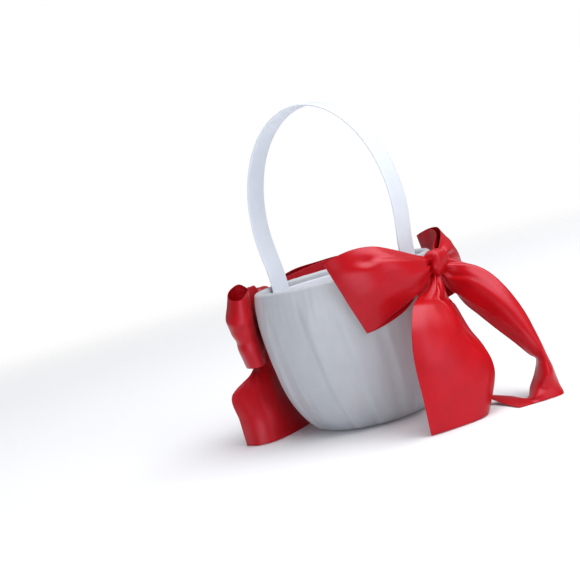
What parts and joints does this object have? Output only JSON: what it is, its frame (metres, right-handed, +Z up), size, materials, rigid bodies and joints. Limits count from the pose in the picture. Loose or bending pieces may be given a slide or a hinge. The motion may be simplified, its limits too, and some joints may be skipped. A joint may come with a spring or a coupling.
{
  "type": "flower girl basket",
  "caption": "Round satin covered basket with a fixed arched band handle and a tied wide ribbon bow at each handle foot, for carrying flower petals.",
  "frame": {"origin": "centre of the flat underside of the base, on the basket's axis, at table height", "axes": "+Z up along the basket's axis; the handle arches along X, with one bow at +X (right) and one at -X (left); the camera side of the basket is -Y"},
  "size_m": [0.2858, 0.1685, 0.2672],
  "materials": {
    "white_satin": "white satin, soft sheen",
    "lining_satin": "white satin lining",
    "handle_satin": "white satin ribbon sleeve",
    "red_satin": "red satin ribbon, bright sheen",
    "grey_board": "pressed grey board",
    "wadding_fibre": "soft polyester wadding",
    "plastic_strip": "translucent plastic strip",
    "brass": "plain",
    "hot_glue": "set hot melt glue"
  },
  "bodies": {
    "basket": {"wall_shell": "grey_board", "wall_wadding": "wadding_fibre", "outer_cover": "white_satin", "lining_wall": "lining_satin", "base_cover": "white_satin", "base_board": "grey_board", "inner_floor_board": "grey_board", "inner_floor_cover": "lining_satin", "handle_core": "plastic_strip", "handle_cover": "handle_satin", "right_foot_front_rivet": "brass", "right_foot_back_rivet": "brass", "left_foot_front_rivet": "brass", "left_foot_back_rivet": "brass", "right_knot": "red_satin", "right_glue_pad": "hot_glue", "right_front_loop": "red_satin", "right_back_loop": "red_satin", "left_knot": "red_satin", "left_glue_pad": "hot_glue", "left_front_loop": "red_satin", "left_back_loop": "red_satin"},
    "right_front_ribbon_tail": {"right_front_tail": "red_satin"},
    "right_side_ribbon_tail": {"right_side_tail": "red_satin"},
    "left_front_ribbon_tail": {"left_front_tail": "red_satin"},
    "left_rear_ribbon_tail": {"left_rear_tail": "red_satin"}
  },
  "joints": [
    {"name": "right_front_tail_lift", "type": "hinge", "parent": "basket", "child": "right_front_ribbon_tail", "pos_m": [0.0925, 0, 0.1046], "axis": [0, -1, 0], "range_deg": [0, 20]},
    {"name": "right_side_tail_lift", "type": "hinge", "parent": "basket", "child": "right_side_ribbon_tail", "pos_m": [0.095, 0, 0.1138], "axis": [0, -1, 0], "range_deg": [0, 50]},
    {"name": "left_front_tail_lift", "type": "hinge", "parent": "basket", "child": "left_front_ribbon_tail", "pos_m": [-0.0925, 0, 0.1046], "axis": [0, 1, 0], "range_deg": [0, 60]},
    {"name": "left_rear_tail_lift", "type": "hinge", "parent": "basket", "child": "left_rear_ribbon_tail", "pos_m": [-0.0925, 0, 0.1046], "axis": [0, 1, 0], "range_deg": [0, 60]}
  ]
}
